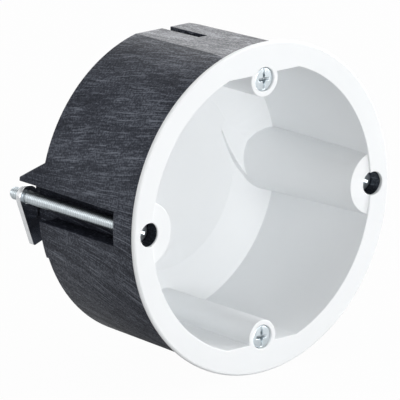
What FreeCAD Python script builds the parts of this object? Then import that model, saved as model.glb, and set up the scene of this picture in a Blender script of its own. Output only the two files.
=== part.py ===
import FreeCAD, Part
import math
import os

from FreeCAD import Vector

# Round back box for hollow walls: a white moulded liner in a dark moulded jacket.
# Two screw claws hold it behind the wall board, and two screws take the wiring device.
# Axes: X to the right seen from the room, Y into the wall, Z up. Sizes are in millimetres.
# Origin: on the box's axis in the plane of the wall's face, which is the back of the rim.

# Device screws and the pillars that carry them
DEVICE_SCREW_SPACING = 60.0
DEVICE_SCREW_LENGTH = 18.0
DEVICE_SHANK_RADIUS = 1.6
DEVICE_HEAD_RADIUS = 2.6
DEVICE_HEAD_EDGE = 0.5
DEVICE_HEAD_RECESS = 0.3
DEVICE_HEAD_CLEARANCE = 0.2
PILLAR_RADIUS = 4.0
PILOT_SPARE_DEPTH = 2.0

# Liner cup
FLAT_OUTSIDE_SCREW = 1.3
FLAT_DEPTH = 1.7
LINER_WALL = 1.2
LINER_DRAFT = 1.2
FLOOR_DEPTH = 33.8
FLOOR_DISC_RADIUS = 22.0
FLOOR_BAND_RISE = 3.0

# Rim
RIM_THICKNESS = 1.0
RIM_OVERHANG = 1.6
RIM_EDGE = 0.35
RELIEF_WIDTH = 0.5
RELIEF_DEPTH = 0.3

# Jacket
LINER_FIT = 0.1
JACKET_WALL = 2.6
JACKET_FLOOR = 2.0
JACKET_TAPER = 0.7
JACKET_FLAT_DEPTH = 0.9
SPIGOT_LENGTH = 7.0
REAR_CONE_RISE = 3.3
SLOT_WIDTH = 2.4
SLOT_OFFSET = 1.2
SLOT_LENGTH = 12.5
SLOT_DEPTH = 1.6

# Claw screws, their holes and their outside channels
CLAW_SCREW_INSET = 3.1
CLAW_SHANK_RADIUS = 1.5
CLAW_HEAD_RADIUS = 2.65
CLAW_HEAD_HEIGHT = 2.0
CLAW_HEAD_DEPTH = 2.7
CLAW_HEAD_CLEARANCE = 0.1
CLAW_SEAT_WALL = 3.3
CLAW_SCREW_END = 3.9
CHANNEL_WIDTH = 7.9
CHANNEL_DRAFT = 0.2
CHANNEL_BEHIND_SCREW = 2.8

# Liner bosses round the claw screws, and the lugs that close them at the rim
BOSS_RADIUS = 7.45
BOSS_OUTSIDE_SCREW = 0.85
BOSS_LEAN = 5.9
LUG_RECESS = 0.5

# Pockets for the parked claws, seen from the room as raised pads on the floor
PAD_ANGLE = 24.0
PAD_LENGTH = 18.0
PAD_BULGE = 1.1
PAD_RISE = 2.1
PAD_TILT = 8.5

# Claws, and the ears and lips of the jacket beside them
CLAW_THICKNESS = 1.5
CLAW_RADIUS = 2.7
CLAW_LENGTH = 11.5
CLAW_CORNER = 0.4
CLAW_PARK_ANGLE = 20.0
CLAW_STANDOFF = 6.8
CLAW_REST_GAP = 0.3
EAR_CATCH = 0.9
EAR_BASE = 5.6
EAR_TIP = 0.95
LIP_RISE = 0.7
LIP_LENGTH = 8.8

# Screw recesses and small edges
RECESS_WIDTH = 0.8
RECESS_LENGTH = 3.2
RECESS_DEPTH = 1.0
DRIVER_SLOT_WIDTH = 0.7
DRIVER_SLOT_DEPTH = 0.5
SCREW_EDGE = 0.3
RUNNING_FIT = 0.05

# Sizes worked out from the ones above
DEVICE_SCREW_Z = DEVICE_SCREW_SPACING / 2
MOUTH_FLAT = DEVICE_SCREW_Z + FLAT_OUTSIDE_SCREW
MOUTH_RADIUS = MOUTH_FLAT + FLAT_DEPTH
SPIGOT_RADIUS = MOUTH_RADIUS + LINER_WALL + LINER_FIT + JACKET_WALL
RIM_RADIUS = SPIGOT_RADIUS + RIM_OVERHANG
RIM_FRONT = -RIM_THICKNESS
JACKET_REAR_RADIUS = SPIGOT_RADIUS - JACKET_TAPER
JACKET_DISC_DEPTH = FLOOR_DEPTH + LINER_WALL + LINER_FIT + JACKET_FLOOR
JACKET_DEPTH = JACKET_DISC_DEPTH - REAR_CONE_RISE
CLAW_SCREW_X = SPIGOT_RADIUS - CLAW_SCREW_INSET
CLAW_SEAT_DEPTH = CLAW_HEAD_DEPTH + CLAW_HEAD_HEIGHT + RUNNING_FIT
CHANNEL_FRONT = CLAW_SEAT_DEPTH + CLAW_SEAT_WALL
CLAW_FRONT = JACKET_DEPTH + CLAW_STANDOFF
CLAW_BACK = CLAW_FRONT + CLAW_THICKNESS
BEYOND = 2 * (RIM_RADIUS + CLAW_BACK)
AXIS = Vector(0, 1, 0)


def slope(angle):
    return math.tan(math.radians(angle))


def revolved(points):
    """Solid turned about the box's axis from (radius, depth) points."""
    corners = [Vector(radius, depth, 0) for radius, depth in points]
    outline = Part.makePolygon(corners + corners[:1])
    return Part.Face(outline).revolve(Vector(), AXIS, 360)


def prism(points, low, high):
    """Solid with (depth, height) points as its outline, from x = low to x = high."""
    corners = [Vector(low, depth, height) for depth, height in points]
    outline = Part.makePolygon(corners + corners[:1])
    return Part.Face(outline).extrude(Vector(high - low, 0, 0))


def half_turn(shape):
    """Copy on the other side of the box, half a turn about its axis."""
    copy = shape.copy()
    copy.rotate(Vector(), AXIS, 180)
    return copy


def both_sides(shape):
    return [shape, half_turn(shape)]


def behind(depth):
    """Everything deeper in the wall than the given depth."""
    return Part.makeBox(BEYOND, BEYOND, BEYOND, Vector(-BEYOND / 2, depth, -BEYOND / 2))


def above(height_front, height_rear, rear):
    """Everything above a plane that falls from height_front at the wall's face to height_rear."""
    fall = (height_front - height_rear) / rear
    front_edge = (-BEYOND, height_front + BEYOND * fall)
    rear_edge = (BEYOND, height_front - BEYOND * fall)
    return prism([front_edge, rear_edge, (BEYOND, BEYOND), (-BEYOND, BEYOND)], -BEYOND, BEYOND)


def boss_axis_x(depth):
    """Distance of the right boss's leaning axis from the box's axis at a depth."""
    at_rim = CLAW_SCREW_X + BOSS_OUTSIDE_SCREW
    return at_rim - (depth - RIM_FRONT) * slope(BOSS_LEAN)


def boss(offset, front):
    """Right boss, which leans inwards so that the liner draws off its mould, from depth front."""
    start = -BEYOND
    lean = Vector(boss_axis_x(BEYOND) - boss_axis_x(start), BEYOND - start, 0)
    bar = Part.makeCylinder(BOSS_RADIUS - offset, lean.Length, Vector(boss_axis_x(start), start, 0), lean)
    return bar.common(behind(front))


def claw_pad(offset):
    """Room behind the floor for the parked right claw: a block that leaves its boss at a tangent."""
    floor = FLOOR_DEPTH + offset
    boss_x = boss_axis_x(FLOOR_DEPTH)
    chord = boss_x * math.cos(math.radians(PAD_ANGLE)) - BOSS_RADIUS + offset
    start = -boss_x * math.sin(math.radians(PAD_ANGLE))
    length = PAD_LENGTH - offset
    low_corner = Vector(chord, 0, 0)
    high_corner = Vector(chord, 0, length)
    side = Part.Arc(low_corner, Vector(chord - PAD_BULGE, 0, length / 2), high_corner).toShape()
    ends = Part.makePolygon([high_corner, Vector(BEYOND, 0, length), Vector(BEYOND, 0, 0), low_corner])
    block = Part.Face(Part.Wire([side] + ends.Edges)).extrude(Vector(0, BEYOND, 0))
    block.rotate(Vector(), Vector(1, 0, 0), -PAD_TILT)
    block.translate(Vector(0, floor - PAD_RISE, start))
    block.rotate(Vector(), AXIS, -PAD_ANGLE)
    return block


def cup(offset, draft, front, boss_front):
    """Inside of the liner with walls of the given draft, grown by offset, from depth front to the floor."""
    def wall(depth):
        return MOUTH_RADIUS + offset - (depth - RIM_FRONT) * slope(draft)

    floor = FLOOR_DEPTH + offset
    corner = floor - FLOOR_BAND_RISE
    body = revolved([(0, front), (wall(front), front), (wall(corner), corner),
                     (FLOOR_DISC_RADIUS, floor), (0, floor)])
    flat = above(wall(0) - FLAT_DEPTH, wall(floor) - FLAT_DEPTH, floor)
    return body.cut(both_sides(flat) + both_sides(boss(offset, boss_front)) + both_sides(claw_pad(offset)))


def round_bar(radius, front, rear, x, z):
    """Cylinder into the wall from depth front to depth rear."""
    return Part.makeCylinder(radius, rear - front, Vector(x, front, z), AXIS)


def device_screw(clearance):
    """Device screw on the box's axis, or with a clearance the space that it takes in its pillar."""
    head = RIM_FRONT + DEVICE_HEAD_RECESS
    head_radius = DEVICE_HEAD_RADIUS + clearance
    shank_radius = DEVICE_SHANK_RADIUS + min(clearance, RUNNING_FIT)
    edge = head + DEVICE_HEAD_EDGE
    neck = edge + head_radius - shank_radius
    tip = head + DEVICE_SCREW_LENGTH
    if clearance:
        mouth = RIM_FRONT - DEVICE_HEAD_RECESS
        end = tip + PILOT_SPARE_DEPTH
        return revolved([(0, mouth), (head_radius, mouth), (head_radius, edge), (shank_radius, neck),
                         (shank_radius, end), (0, end)])
    screw = revolved([(0, head), (head_radius - SCREW_EDGE, head), (head_radius, head + SCREW_EDGE),
                      (head_radius, edge), (shank_radius, neck), (shank_radius, tip), (0, tip)])
    driver_slot = Part.makeBox(DRIVER_SLOT_WIDTH, DRIVER_SLOT_DEPTH, 2 * head_radius,
                               Vector(-DRIVER_SLOT_WIDTH / 2, head, -head_radius))
    return screw.cut(cross_recess(head) + [driver_slot])


def cross_recess(head):
    """Two crossed bars sunk into a screw head from depth head."""
    upright = Part.makeBox(RECESS_WIDTH, RECESS_DEPTH, RECESS_LENGTH,
                           Vector(-RECESS_WIDTH / 2, head, -RECESS_LENGTH / 2))
    level = upright.copy()
    level.rotate(Vector(), AXIS, 90)
    return [upright, level]


def make_liner():
    # The outside of the liner is straight, so that it fits the jacket over its whole depth
    shell = cup(LINER_WALL, 0, 0, 0)
    rim = revolved([(0, RIM_FRONT), (RIM_RADIUS - RIM_EDGE, RIM_FRONT), (RIM_RADIUS, RIM_FRONT + RIM_EDGE),
                    (RIM_RADIUS, 0), (0, 0)])
    relief_inside = SPIGOT_RADIUS - RELIEF_WIDTH
    relief_outside = SPIGOT_RADIUS + LINER_FIT
    relief = revolved([(relief_inside, 0), (relief_outside, -RELIEF_DEPTH), (relief_outside, 0)])
    pillar = round_bar(PILLAR_RADIUS, RIM_FRONT, FLOOR_DEPTH, 0, DEVICE_SCREW_Z)
    hollow = cup(0, LINER_DRAFT, RIM_FRONT, RIM_FRONT + LUG_RECESS).cut(both_sides(pillar))
    screw_space = device_screw(DEVICE_HEAD_CLEARANCE)
    screw_space.translate(Vector(0, 0, DEVICE_SCREW_Z))
    claw_hole = round_bar(CLAW_HEAD_RADIUS + CLAW_HEAD_CLEARANCE, RIM_FRONT, 0, CLAW_SCREW_X, 0)
    liner = rim.fuse(shell).cut([hollow, relief] + both_sides(screw_space) + both_sides(claw_hole))
    return liner.removeSplitter()


def make_jacket():
    shoulder = JACKET_REAR_RADIUS - JACKET_WALL
    body = revolved([(0, 0), (SPIGOT_RADIUS, 0), (SPIGOT_RADIUS, SPIGOT_LENGTH),
                     (JACKET_REAR_RADIUS, JACKET_DEPTH), (shoulder, JACKET_DEPTH),
                     (FLOOR_DISC_RADIUS, JACKET_DISC_DEPTH), (0, JACKET_DISC_DEPTH)])
    flat_front = SPIGOT_RADIUS - JACKET_FLAT_DEPTH
    flat_rear = JACKET_REAR_RADIUS - JACKET_FLAT_DEPTH
    flat = above(flat_front, flat_rear, JACKET_DEPTH)
    body = body.cut(both_sides(flat) + both_sides(claw_pad(JACKET_DISC_DEPTH - FLOOR_DEPTH)))

    # The rear edge carries an ear above the left channel and a low lip below it
    ear_depth = CLAW_FRONT + EAR_CATCH
    edge_root = JACKET_DEPTH - JACKET_WALL
    edge_ring = revolved([(shoulder, edge_root), (JACKET_REAR_RADIUS, edge_root),
                          (JACKET_REAR_RADIUS, ear_depth), (shoulder, ear_depth)])
    channel_rear = CHANNEL_WIDTH / 2 + (JACKET_DEPTH - CHANNEL_FRONT) * slope(CHANNEL_DRAFT)
    ear_top = channel_rear + EAR_BASE
    ear_outline = prism([(edge_root, 0), (ear_depth, 0), (ear_depth, channel_rear + EAR_TIP),
                         (JACKET_DEPTH, ear_top), (edge_root, ear_top)], -BEYOND, 0)
    lip_end = -channel_rear - LIP_LENGTH
    lip_depth = JACKET_DEPTH + LIP_RISE
    lip_outline = prism([(edge_root, 0), (lip_depth, 0), (lip_depth, lip_end), (edge_root, lip_end)],
                        -BEYOND, 0)
    edge_work = edge_ring.common(ear_outline.fuse(lip_outline))

    # Behind the floor the channel's inner wall runs on as a rest for the claw, with a web up to the ear
    rest_depth = CLAW_FRONT - CLAW_REST_GAP
    rest_end = channel_rear + EAR_TIP
    channel_floor = CLAW_SCREW_X - CHANNEL_BEHIND_SCREW
    rest = prism([(edge_root, -ear_top), (JACKET_DEPTH, -ear_top), (rest_depth, -rest_end),
                  (rest_depth, rest_end), (JACKET_DEPTH, ear_top), (edge_root, ear_top)],
                 -channel_floor, JACKET_WALL - channel_floor)
    web = prism([(edge_root, channel_rear), (rest_depth, channel_rear), (rest_depth, rest_end),
                 (JACKET_DEPTH, ear_top), (edge_root, ear_top)], -shoulder, -channel_floor)

    # A post on the rest stops the parked claw from turning further in
    post_inset = (CLAW_RADIUS + CLAW_REST_GAP) / math.cos(math.radians(CLAW_PARK_ANGLE))
    post = prism([(JACKET_DEPTH, 0), (CLAW_BACK, 0),
                  (CLAW_BACK, channel_rear), (JACKET_DEPTH, channel_rear)],
                 post_inset - CLAW_SCREW_X, JACKET_WALL - channel_floor)
    body = body.fuse(both_sides(edge_work.fuse([rest, web, post])))

    # The channel of each claw screw opens outwards and to the rear
    far_width = CHANNEL_WIDTH / 2 + BEYOND * slope(CHANNEL_DRAFT)
    near_width = CHANNEL_WIDTH / 2
    channel = prism([(CHANNEL_FRONT, near_width), (CHANNEL_FRONT + BEYOND, far_width),
                     (CHANNEL_FRONT + BEYOND, -far_width), (CHANNEL_FRONT, -near_width)],
                    channel_floor, BEYOND)
    head_hole = round_bar(CLAW_HEAD_RADIUS + CLAW_HEAD_CLEARANCE, 0, CLAW_SEAT_DEPTH, CLAW_SCREW_X, 0)
    shank_hole = round_bar(CLAW_SHANK_RADIUS + RUNNING_FIT, 0, CHANNEL_FRONT, CLAW_SCREW_X, 0)

    # Each flat has a slot that runs in from the rear edge
    slot_front = JACKET_DEPTH - SLOT_LENGTH
    flat_fall = (flat_front - flat_rear) / JACKET_DEPTH
    slot_floor = flat_front - slot_front * flat_fall - SLOT_DEPTH
    slot = prism([(slot_front, slot_floor), (BEYOND, slot_floor - (BEYOND - slot_front) * flat_fall),
                  (BEYOND, BEYOND), (slot_front, BEYOND)],
                 SLOT_OFFSET - SLOT_WIDTH / 2, SLOT_OFFSET + SLOT_WIDTH / 2)
    hollow = cup(LINER_WALL + LINER_FIT, 0, 0, 0)
    holes = both_sides(head_hole) + both_sides(shank_hole)
    return body.cut([hollow] + both_sides(channel) + holes + both_sides(slot)).removeSplitter()


def make_device_screw():
    screw = device_screw(0)
    screw.translate(Vector(0, 0, DEVICE_SCREW_Z))
    return screw


def make_claw_screw():
    """Right claw screw: a pan head with a cross recess and a long shank with a bevelled end."""
    tip = CLAW_BACK + CLAW_SCREW_END
    seat = CLAW_HEAD_DEPTH + CLAW_HEAD_HEIGHT
    screw = revolved([(0, CLAW_HEAD_DEPTH), (CLAW_HEAD_RADIUS - SCREW_EDGE, CLAW_HEAD_DEPTH),
                      (CLAW_HEAD_RADIUS, CLAW_HEAD_DEPTH + SCREW_EDGE), (CLAW_HEAD_RADIUS, seat),
                      (CLAW_SHANK_RADIUS, seat), (CLAW_SHANK_RADIUS, tip - SCREW_EDGE),
                      (CLAW_SHANK_RADIUS - SCREW_EDGE, tip), (0, tip)])
    screw = screw.cut(cross_recess(CLAW_HEAD_DEPTH))
    screw.translate(Vector(CLAW_SCREW_X, 0, 0))
    return screw


def make_claw():
    """Left claw: a flat plate with a round eye, parked behind the box with its arm down and inwards."""
    left_side = Vector(-CLAW_RADIUS, 0, 0)
    right_side = Vector(CLAW_RADIUS, 0, 0)
    eye = Part.Arc(left_side, Vector(0, 0, CLAW_RADIUS), right_side).toShape()
    flank = CLAW_CORNER - CLAW_LENGTH
    narrow = CLAW_RADIUS - CLAW_CORNER
    arm = Part.makePolygon([right_side, Vector(CLAW_RADIUS, 0, flank), Vector(narrow, 0, -CLAW_LENGTH),
                            Vector(-narrow, 0, -CLAW_LENGTH), Vector(-CLAW_RADIUS, 0, flank), left_side])
    outline = Part.Face(Part.Wire([eye] + arm.Edges))
    plate = outline.extrude(Vector(0, CLAW_THICKNESS, 0))
    claw = plate.cut(round_bar(CLAW_SHANK_RADIUS + RUNNING_FIT, 0, CLAW_THICKNESS, 0, 0))
    claw.rotate(Vector(), AXIS, -CLAW_PARK_ANGLE)
    claw.translate(Vector(-CLAW_SCREW_X, CLAW_FRONT, 0))
    return claw


top_screw = make_device_screw()
right_screw = make_claw_screw()
left_claw = make_claw()
pieces = {
    "liner": make_liner(),
    "jacket": make_jacket(),
    "device_screw_top": top_screw,
    "device_screw_bottom": half_turn(top_screw),
    "claw_screw_right": right_screw,
    "claw_screw_left": half_turn(right_screw),
    "claw_left": left_claw,
    "claw_right": half_turn(left_claw),
}

os.makedirs("parts", exist_ok=True)
for name, shape in pieces.items():
    shape.exportStep(f"parts/{name}.step")
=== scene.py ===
import math

import bmesh
import bpy
from mathutils import Matrix, Vector


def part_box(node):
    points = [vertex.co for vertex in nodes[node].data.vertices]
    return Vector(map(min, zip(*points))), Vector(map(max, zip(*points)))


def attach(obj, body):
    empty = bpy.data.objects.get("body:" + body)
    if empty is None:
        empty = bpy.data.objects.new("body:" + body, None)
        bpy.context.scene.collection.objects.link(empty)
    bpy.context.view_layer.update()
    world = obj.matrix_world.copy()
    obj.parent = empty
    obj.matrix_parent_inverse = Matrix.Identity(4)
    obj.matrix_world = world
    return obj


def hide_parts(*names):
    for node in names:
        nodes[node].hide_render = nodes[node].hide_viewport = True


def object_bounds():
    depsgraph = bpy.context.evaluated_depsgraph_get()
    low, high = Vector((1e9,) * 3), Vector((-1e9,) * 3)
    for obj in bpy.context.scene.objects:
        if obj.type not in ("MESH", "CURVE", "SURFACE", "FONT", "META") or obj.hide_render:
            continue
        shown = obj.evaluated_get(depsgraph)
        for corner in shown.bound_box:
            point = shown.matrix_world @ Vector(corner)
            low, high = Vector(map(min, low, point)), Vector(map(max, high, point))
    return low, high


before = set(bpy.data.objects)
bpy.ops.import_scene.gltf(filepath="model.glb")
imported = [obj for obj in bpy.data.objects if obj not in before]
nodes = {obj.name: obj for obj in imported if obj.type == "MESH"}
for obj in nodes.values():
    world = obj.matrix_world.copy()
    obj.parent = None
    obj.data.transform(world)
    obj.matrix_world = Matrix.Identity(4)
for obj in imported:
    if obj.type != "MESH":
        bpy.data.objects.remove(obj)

cad_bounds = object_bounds()
scene = bpy.context.scene


# Liner
# The white inner cup with its rim, lugs, bosses and pillars is one injection moulding in satin plastic.
# It is pushed into the jacket from the room side until the back of its rim meets the jacket's front edge.
def dress(name, mesh, body):
    """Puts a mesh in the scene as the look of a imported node, riding on a body."""
    obj = bpy.data.objects.new(name + "_form", mesh)
    scene.collection.objects.link(obj)
    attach(obj, body)
    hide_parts(name)
    return obj


def softened(name, width, sharp, body):
    """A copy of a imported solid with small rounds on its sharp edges, as moulded or stamped edges have.

    Where two broad faces meet at a clear angle, the border between them stays crisp.
    """
    weld = 1e-6
    coplanar = math.radians(0.4)
    clear_angle = math.radians(8)
    broad_face = 0.0015
    build = bmesh.new()
    build.from_mesh(nodes[name].data)
    bmesh.ops.remove_doubles(build, verts=build.verts, dist=weld)
    bmesh.ops.dissolve_limit(build, angle_limit=coplanar, verts=build.verts, edges=build.edges)
    shared = [edge for edge in build.edges if len(edge.link_faces) == 2]
    edges = [edge for edge in shared if edge.calc_face_angle() > sharp and edge.calc_length() > width / 4]
    bmesh.ops.bevel(build, geom=edges, offset=width, offset_type="OFFSET", segments=2, profile=0.5,
                    affect="EDGES", clamp_overlap=False, miter_outer="SHARP", miter_inner="SHARP")
    for face in build.faces:
        face.smooth = True
    for edge in build.edges:
        if len(edge.link_faces) == 2 and edge.calc_face_angle() > clear_angle:
            breadth = min(face.calc_area() for face in edge.link_faces) / max(edge.calc_length(), weld)
            edge.smooth = breadth < broad_face
    mesh = bpy.data.meshes.new(name + "_form")
    build.to_mesh(mesh)
    build.free()
    obj = dress(name, mesh, body)
    shading = obj.modifiers.new("flat_faces", "WEIGHTED_NORMAL")
    shading.weight = 80
    shading.keep_sharp = True
    return obj


def make_material(name):
    """A new material, its node tree and its main shader."""
    material = bpy.data.materials.new(name)
    material.use_nodes = True
    tree = material.node_tree
    return material, tree, tree.nodes["Principled BSDF"]


def feed(tree, socket, value):
    """Sets a socket to a plain value, or links it to another node's output."""
    if isinstance(value, bpy.types.NodeSocket):
        tree.links.new(value, socket)
    else:
        socket.default_value = value


def add(tree, kind, **values):
    """A new shader node with its sockets fed by name."""
    node = tree.nodes.new(kind)
    for name, value in values.items():
        feed(tree, node.inputs[name.replace("_", " ")], value)
    return node


def object_place(tree):
    """The place on the piece, in metres."""
    return add(tree, "ShaderNodeTexCoord").outputs["Object"]


def noise(tree, place, **values):
    """Cloudy noise at a place, from 0 to 1."""
    return add(tree, "ShaderNodeTexNoise", Vector=place, **values).outputs["Fac"]


def ramp(tree, factor, *stops):
    """A colour ramp with (position, colour) stops."""
    node = add(tree, "ShaderNodeValToRGB", Fac=factor)
    elements = node.color_ramp.elements
    while len(elements) < len(stops):
        elements.new(1.0)
    for element, (position, colour) in zip(elements, stops):
        element.position = position
        element.color = (*colour, 1.0)
    return node.outputs["Color"]


def spread(tree, value, low, high, start=0.0, end=1.0):
    """Maps a value from start..end on to low..high."""
    return add(tree, "ShaderNodeMapRange", Value=value, From_Min=start, From_Max=end,
               To_Min=low, To_Max=high).outputs["Result"]


def white_plastic():
    """Satin white plastic with a faint cloud in its colour and the fine grain of the mould."""
    cloud_tones = ((0.3, (0.862, 0.882, 0.896)), (0.7, (0.88, 0.898, 0.91)))
    grain_depth = 0.00002
    material, tree, shader = make_material("white_plastic")
    place = object_place(tree)
    cloud = noise(tree, place, Scale=60.0, Detail=3.0)
    grain = noise(tree, place, Scale=2600.0, Detail=2.0)
    relief = add(tree, "ShaderNodeBump", Strength=0.05, Distance=grain_depth, Height=grain)
    feed(tree, shader.inputs["Base Color"], ramp(tree, cloud, *cloud_tones))
    feed(tree, shader.inputs["Roughness"], spread(tree, grain, low=0.34, high=0.46))
    feed(tree, shader.inputs["Normal"], relief.outputs["Normal"])
    return material


liner_round = 0.00018
liner_sharp = math.radians(25)
liner = softened("liner", liner_round, liner_sharp, "box")
liner.data.materials.append(white_plastic())


# Jacket
# The dark outer cup is one moulding in a filled compound. Its fibres show as fine streaks along the flow.
# It carries the outside channels for the claw screws, the flats with their slots, and the ears and lips.
def reckon(tree, operation, first, second=0.0):
    """One arithmetic node on two values."""
    node = tree.nodes.new("ShaderNodeMath")
    node.operation = operation
    feed(tree, node.inputs[0], first)
    feed(tree, node.inputs[1], second)
    return node.outputs["Value"]


def vector_reckon(tree, operation, *vectors):
    """One number from vectors, such as a length or a distance."""
    node = tree.nodes.new("ShaderNodeVectorMath")
    node.operation = operation
    for socket, vector in zip(node.inputs, vectors):
        feed(tree, socket, vector)
    return node.outputs["Value"]


def dark_compound():
    """Dark filled plastic with fibre streaks, fine specks, and painted shade in the channels, which are
    darker and less glossy.

    Depth, height, arc and radius are in millimetres. The streaks run along the depth of the box, lean with
    the height, and wander most near the top.
    """
    millimetres = 1000.0
    wall_radius = 36.5
    fine_share = 0.36
    broad_share = 0.26
    speck_share = 0.38
    painted_shade_strength = 0.09
    relief_depth = 0.0001
    compound_tones = ((0.36, (0.008, 0.009, 0.013)), (0.5, (0.024, 0.027, 0.039)),
                      (0.68, (0.15, 0.165, 0.2)))
    cool_gloss = (0.8, 0.88, 1.0, 1.0)
    material, tree, shader = make_material("dark_compound")

    def times(first, second):
        return reckon(tree, "MULTIPLY", first, second)

    def plus(first, second):
        return reckon(tree, "ADD", first, second)

    place = object_place(tree)
    split = add(tree, "ShaderNodeSeparateXYZ", Vector=place)
    x, y, z = (split.outputs[axis] for axis in "XYZ")
    depth = times(y, millimetres)
    height = times(z, millimetres)
    arc = times(reckon(tree, "ARCTAN2", z, times(x, -1.0)), wall_radius)
    across = add(tree, "ShaderNodeCombineXYZ", X=x, Z=z).outputs["Vector"]
    radius = times(vector_reckon(tree, "LENGTH", across), millimetres)
    drift = noise(tree, place, Scale=70.0, Detail=3.0, Roughness=0.55)
    reach = spread(tree, height, low=0.5, high=3.4, start=2.0, end=34.0)
    wander = times(reckon(tree, "SUBTRACT", drift, 0.5), reach)
    lean = times(depth, spread(tree, height, low=-0.5, high=0.2, start=-14.0, end=10.0))
    flow = plus(plus(arc, lean), wander)

    def fibres(per_width, per_length, detail):
        """Streak noise that is drawn out along the flow."""
        drawn = add(tree, "ShaderNodeCombineXYZ", X=times(flow, per_width), Y=times(depth, per_length),
                    Z=times(radius, per_width)).outputs["Vector"]
        return noise(tree, drawn, Scale=1.0, Detail=detail, Roughness=0.62)

    fine = fibres(per_width=2.8, per_length=0.3, detail=5.0)
    broad = fibres(per_width=0.3, per_length=0.05, detail=3.0)
    long = fibres(per_width=3.2, per_length=0.09, detail=1.0)
    pale = spread(tree, long, low=0.0, high=0.17, start=0.59, end=0.72)
    speck = noise(tree, place, Scale=2200.0, Detail=2.0)
    blend = plus(times(fine, fine_share), times(broad, broad_share))
    blend = plus(plus(blend, times(speck, speck_share)), pale)

    # Painted shade: the outside channels beside the screws are drawn darker, as if in shadow.
    beside_screws = spread(tree, reckon(tree, "ABSOLUTE", height), low=1.0, high=0.0, start=10.0, end=12.0)
    below_skin = spread(tree, radius, low=1.0, high=0.0, start=35.6, end=36.4)
    outside_rear = spread(tree, radius, low=0.0, high=1.0, start=25.0, end=28.0)
    painted_shade_mask = times(times(beside_screws, below_skin), outside_rear)
    blend = reckon(tree, "SUBTRACT", blend, times(painted_shade_mask, painted_shade_strength))

    relief = add(tree, "ShaderNodeBump", Strength=0.35, Distance=relief_depth, Height=blend)
    gloss = spread(tree, blend, low=0.22, high=0.52, start=0.4, end=0.62)
    feed(tree, shader.inputs["Base Color"], ramp(tree, blend, *compound_tones))
    feed(tree, shader.inputs["Roughness"], spread(tree, blend, low=0.5, high=0.3, start=0.4, end=0.62))
    feed(tree, shader.inputs["Normal"], relief.outputs["Normal"])
    feed(tree, shader.inputs["IOR"], 1.45)
    # The painted shade in the channels also weakens the gloss there.
    feed(tree, shader.inputs["Specular IOR Level"], times(gloss, spread(tree, painted_shade_mask, low=1.0, high=0.4)))
    feed(tree, shader.inputs["Specular Tint"], cool_gloss)
    return material


jacket_round = 0.0001
jacket_sharp = math.radians(30)
jacket = softened("jacket", jacket_round, jacket_sharp, "box")
jacket.data.materials.append(dark_compound())


# Device screws
# Two zinc-plated machine screws with countersunk heads and a combined slot and cross recess.
# They are driven into the pillars and hold the support ring of the switch or socket.
def zinc_plating():
    """Bright zinc with a faint bloom, darkened with painted shade where the surface is sunk in a recess or a
    thread.
    """
    bloom_tones = ((0.3, (0.67, 0.74, 0.78)), (0.7, (0.77, 0.84, 0.88)))
    painted_shade_zinc = (0.1, 0.11, 0.12, 1.0)
    material, tree, shader = make_material("zinc_plating")
    bloom = noise(tree, object_place(tree), Scale=700.0, Detail=3.0)
    # Painted shade: the zinc is drawn darker where it lies sunk in the cross recess and in the thread's
    # roots.
    sunk = tree.nodes.new("ShaderNodeAttribute")
    sunk.attribute_name = "sunk"
    painted_shade_mix = tree.nodes.new("ShaderNodeMix")
    painted_shade_mix.data_type = "RGBA"
    painted_shade_share = spread(tree, sunk.outputs["Fac"], low=0.0, high=0.55, start=0.0001, end=0.0007)
    feed(tree, painted_shade_mix.inputs["Factor"], painted_shade_share)
    feed(tree, painted_shade_mix.inputs["A"], ramp(tree, bloom, *bloom_tones))
    feed(tree, painted_shade_mix.inputs["B"], painted_shade_zinc)
    feed(tree, shader.inputs["Base Color"], painted_shade_mix.outputs["Result"])
    feed(tree, shader.inputs["Metallic"], 1.0)
    feed(tree, shader.inputs["Roughness"], spread(tree, bloom, low=0.3, high=0.4))
    return material


def skin(rings):
    """Faces between rings of equally many points, with one face across the first and the last ring."""
    count = len(rings[0])
    last = (len(rings) - 1) * count
    points = [point for ring in rings for point in ring]
    faces = []
    for row in range(0, last, count):
        for column in range(count):
            after = (column + 1) % count
            faces.append((row + count + column, row + count + after, row + after, row + column))
    faces.append(tuple(range(count)))
    faces.append(tuple(range(last + count - 1, last - 1, -1)))
    return points, faces


def ease(value):
    """Smooth step from 0 to 1."""
    value = min(1.0, max(0.0, value))
    return value * value * (3.0 - 2.0 * value)


recess_wall = 0.00016


def cross_depth(x, z, width, length, deep, rise):
    """Depth of a pressed cross recess at a point of the head: the wings rise towards their ends."""
    depth = 0.0
    for side, along in ((x, z), (z, x)):
        wall = ease((width / 2 - abs(side)) / recess_wall)
        floor = min(1.0, max(0.0, (length / 2 - abs(along)) / rise))
        depth = max(depth, deep * wall * floor)
    return depth


def slot_depth(x, width, deep):
    """Depth of a straight driver slot across the head."""
    return deep * ease((width / 2 - abs(x)) / recess_wall)


def thread_cuts(crest, root, pitch, start, end, around):
    """The rings of a cut thread: for each, its depth behind the head and its radii and cuts around.

    The thread runs in over its first turns, runs out at its end, and the tip has a small chamfer.
    """
    rings_per_turn = 8
    run_in = 2.0 * pitch
    run_out = 0.8 * pitch
    chamfer = 0.0003
    chamfer_length = 0.0004
    steps = int((end - start) / pitch * rings_per_turn)
    for step in range(steps + 1):
        behind = start + (end - start) * step / steps
        full = root * ease((behind - start) / run_in) * ease((end - behind) / run_out)
        tip = chamfer * ease((behind - end + chamfer_length) / chamfer_length)
        cuts = [full * abs(2.0 * ((behind / pitch - k / around) % 1.0) - 1.0) for k in range(around)]
        yield behind, [crest - cut - tip for cut in cuts], cuts


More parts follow.
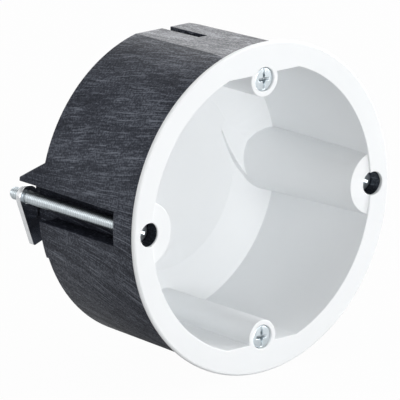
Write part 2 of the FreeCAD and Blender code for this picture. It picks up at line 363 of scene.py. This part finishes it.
def screw(name, seat, crown, profile, recess, recess_painted_shade, thread, turn):
    """A screw along +Y: a pressed head face, turned flanks from the profile, and a cut thread.

    The seat is the middle of the plane that the rim of the head's face lies in, and the crown is the
    face's rise above it. The profile lists (radius, depth behind the seat) points from that rim to the
    thread. The attribute "sunk" tells the plating how deep the surface lies, for painted shade there:
    below the face, times recess_painted_shade, or below the crests of the thread, times
    thread_painted_shade.
    """
    around = 120
    face_rings = 40
    # The sunk depths below set how much painted shade falls on the zinc.
    thread_painted_shade = 2.0
    angles = [2 * math.pi * k / around for k in range(around)]
    directions = [(math.cos(angle), math.sin(angle)) for angle in angles]
    rings = []
    sunk = []
    face_radius = profile[0][0]
    for ring in range(1, face_rings + 1):
        share = ring / face_rings
        flat = [(face_radius * share * c, face_radius * share * s) for c, s in directions]
        depths = [recess(x, z) for x, z in flat]
        rise = crown * (1.0 - share ** 2)
        rings.append([Vector((x, depth - rise, z)) for (x, z), depth in zip(flat, depths)])
        sunk += [depth * recess_painted_shade for depth in depths]
    for radius, behind in profile[1:]:
        rings.append([Vector((radius * c, behind, radius * s)) for c, s in directions])
        sunk += [0.0] * around
    for behind, radii, cuts in thread_cuts(**thread, around=around):
        rings.append([Vector((radius * c, behind, radius * s)) for radius, (c, s) in zip(radii, directions)])
        sunk += [cut * thread_painted_shade for cut in cuts]
    points, faces = skin(rings)
    placed = Matrix.Translation(seat) @ Matrix.Rotation(turn, 4, "Y")
    mesh = bpy.data.meshes.new(name + "_form")
    mesh.from_pydata([tuple(placed @ point) for point in points], [], faces)
    for polygon in mesh.polygons:
        polygon.use_smooth = True
    mesh.attributes.new("sunk", "FLOAT", "POINT").data.foreach_set("value", sunk)
    mesh.materials.append(zinc)
    return dress(name, mesh, name)


def device_recess(x, z):
    """The cross and the slot that are pressed into a device screw's head."""
    cross = cross_depth(x, z, width=0.0008, length=0.0032, deep=0.001, rise=0.0009)
    return max(cross, slot_depth(x, width=0.0007, deep=0.0005))


zinc = zinc_plating()
device_low, device_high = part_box("device_screw_top")
device_height = (device_low[2] + device_high[2]) / 2
device_crown = 0.00012
device_profile = ((0.00230, 0.0), (0.00242, 0.00003), (0.00252, 0.0001), (0.00258, 0.0002), (0.0026, 0.0003),
                  (0.0026, 0.0005), (0.00256, 0.00056), (0.0016, 0.0015))
device_thread = {"crest": 0.0016, "root": 0.0003, "pitch": 0.0012, "start": 0.0018,
                 "end": device_high[1] - device_low[1]}
for name, side in (("device_screw_top", 1), ("device_screw_bottom", -1)):
    screw(name, seat=Vector((0.0, device_low[1], side * device_height)), crown=device_crown,
          profile=device_profile, recess=device_recess, recess_painted_shade=1.0, thread=device_thread, turn=0.0)


# Claw screws
# Two long zinc-plated machine screws with pan heads and a cross recess, put in through the rim's side holes.
# Turning them swings the claws out and draws them against the back of the wall board.
def claw_recess(x, z):
    """The cross that is pressed into a claw screw's head."""
    return cross_depth(x, z, width=0.0009, length=0.0034, deep=0.001, rise=0.0017)


claw_low, claw_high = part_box("claw_screw_right")
claw_across = (claw_low[0] + claw_high[0]) / 2
claw_turn = math.radians(20)
claw_profile = ((0.00215, 0.0), (0.00235, 0.00005), (0.00252, 0.00018), (0.00262, 0.0004), (0.00265, 0.0007),
                (0.00265, 0.00194), (0.0026, 0.002), (0.0015, 0.002))
claw_thread = {"crest": 0.0015, "root": 0.0003, "pitch": 0.0006, "start": 0.0021,
               "end": claw_high[1] - claw_low[1]}
for name, side in (("claw_screw_left", -1), ("claw_screw_right", 1)):
    screw(name, seat=Vector((side * claw_across, claw_low[1], 0.0)), crown=0.0,
          profile=claw_profile, recess=claw_recess, recess_painted_shade=0.0, thread=claw_thread, turn=claw_turn)


# Claws
# Flat plates stamped from sheet steel and zinc plated, each threaded on the end of its claw screw.
# The punch leaves small rounds along their edges.
def stamped_steel():
    """Smooth plated sheet with a faint bloom."""
    bloom_tones = ((0.3, (0.74, 0.76, 0.78)), (0.7, (0.86, 0.88, 0.90)))
    material, tree, shader = make_material("stamped_steel")
    bloom = noise(tree, object_place(tree), Scale=900.0, Detail=3.0)
    feed(tree, shader.inputs["Base Color"], ramp(tree, bloom, *bloom_tones))
    feed(tree, shader.inputs["Metallic"], 1.0)
    feed(tree, shader.inputs["Roughness"], spread(tree, bloom, low=0.16, high=0.26))
    return material


claw_round = 0.00012
claw_sharp = math.radians(40)
claw_steel = stamped_steel()
for name in ("claw_left", "claw_right"):
    softened(name, claw_round, claw_sharp, name).data.materials.append(claw_steel)


# Studio
# A pale floor that the rim stands on, a white surround, and soft lamps all round.
# The camera stands where the photograph's did, found from the rim, the outline and the screws.
def seen_rays(tree, mirrored):
    """1 for rays from the camera or through a surface, a share for mirrored rays, 0 for the light."""
    rays = add(tree, "ShaderNodeLightPath").outputs
    plain = reckon(tree, "MAXIMUM", rays["Is Camera Ray"], rays["Is Transmission Ray"])
    return reckon(tree, "MAXIMUM", plain, reckon(tree, "MULTIPLY", rays["Is Glossy Ray"], mirrored))


def floor_paint():
    """A matt floor that looks nearly white and still takes the shadow. Mirrored, its white carries a painted
    shadow under the box.
    """
    mottle_tones = ((0.3, (0.43, 0.43, 0.43)), (0.7, (0.46, 0.46, 0.46)))
    white = (1.0, 1.0, 1.0, 1.0)
    glow_share = 0.975
    painted_shadow_middle = (-0.005, 0.03, 0.0)
    material, tree, shader = make_material("studio_floor")
    tree.nodes.remove(shader)
    place = object_place(tree)
    mottle = noise(tree, place, Scale=3.0, Detail=2.0)
    matt = add(tree, "ShaderNodeBsdfDiffuse", Color=ramp(tree, mottle, *mottle_tones))
    glow = add(tree, "ShaderNodeEmission", Color=white, Strength=1.0)
    # Painted shadow: mirrored rays see the floor's white dimmed near the box.
    from_box = vector_reckon(tree, "DISTANCE", place, painted_shadow_middle)
    mirrored = spread(tree, from_box, low=0.1, high=0.5, start=0.03, end=0.06)
    mixed = tree.nodes.new("ShaderNodeMixShader")
    factor, first, second = mixed.inputs
    feed(tree, factor, reckon(tree, "MULTIPLY", seen_rays(tree, mirrored), glow_share))
    feed(tree, first, matt.outputs["BSDF"])
    feed(tree, second, glow.outputs["Emission"])
    feed(tree, tree.nodes["Material Output"].inputs["Surface"], mixed.outputs["Shader"])
    return material


def surround():
    """A white surround, which mirrored rays see dimmer overhead, and which gives a weak even light."""
    even_light = 0.25
    world = bpy.data.worlds.new("studio")
    world.use_nodes = True
    tree = world.node_tree
    toward = add(tree, "ShaderNodeTexCoord").outputs["Generated"]
    skyward = add(tree, "ShaderNodeSeparateXYZ", Vector=toward).outputs["Z"]
    wall_glow = spread(tree, skyward, low=1.0, high=0.45, start=0.3, end=0.7)
    background = tree.nodes["Background"]
    feed(tree, background.inputs["Color"], (1.0, 1.0, 1.0, 1.0))
    strength = spread(tree, seen_rays(tree, 1.0), low=even_light, high=wall_glow)
    feed(tree, background.inputs["Strength"], strength)
    return world


def lamp(name, place, width, height, power):
    """A soft lamp panel that faces the middle of the object."""
    middle = Vector((0.0, 0.017, 0.0))
    light = bpy.data.lights.new(name, "AREA")
    light.shape = "RECTANGLE"
    light.size = width
    light.size_y = height
    light.energy = power
    obj = bpy.data.objects.new(name, light)
    obj.location = place
    obj.rotation_euler = (middle - Vector(place)).to_track_quat("-Z", "Y").to_euler()
    scene.collection.objects.link(obj)


def aimed(place, aim, roll):
    """The matrix of a camera at a place that looks at an aim, rolled about its line of sight."""
    ahead = (aim - place).normalized()
    level = ahead.cross(Vector((0.0, 0.0, 1.0))).normalized()
    level.rotate(Matrix.Rotation(roll, 3, ahead))
    above = level.cross(ahead)
    return Matrix.Translation(place) @ Matrix((level, above, -ahead)).transposed().to_4x4()


floor_size = 12.0
floor_level = cad_bounds[0][2]
bpy.ops.mesh.primitive_plane_add(size=floor_size, location=(0.0, 0.0, floor_level))
floor = bpy.context.object
floor.name = "studio_floor"
floor.data.materials.append(floor_paint())
scene.world = surround()

lamp("key", place=(-0.3, -1.45, 0.2), width=1.2, height=0.45, power=11.4)
lamp("right", place=(1.35, -0.5, 0.5), width=1.4, height=0.9, power=21.5)
lamp("top", place=(0.0, 0.2, 1.3), width=0.9, height=0.9, power=6.0)
lamp("back", place=(0.95, 1.07, 0.42), width=0.9, height=0.6, power=2.8)
lamp("left", place=(-1.3, 0.35, 0.35), width=0.8, height=0.6, power=4.0)

camera_place = Vector((-0.872561, -0.962951, 0.359626))
camera_aim = Vector((-0.003199, 0.016923, -0.001103))
camera_roll = math.radians(-0.355)
camera = bpy.data.cameras.new("camera")
camera.sensor_width = 36.0
camera.lens = 540.0
camera.clip_start = 0.05
camera.clip_end = 50.0
camera_rig = bpy.data.objects.new("camera", camera)
camera_rig.matrix_world = aimed(camera_place, camera_aim, camera_roll)
scene.collection.objects.link(camera_rig)
scene.camera = camera_rig
scene.view_settings.view_transform = "Standard"
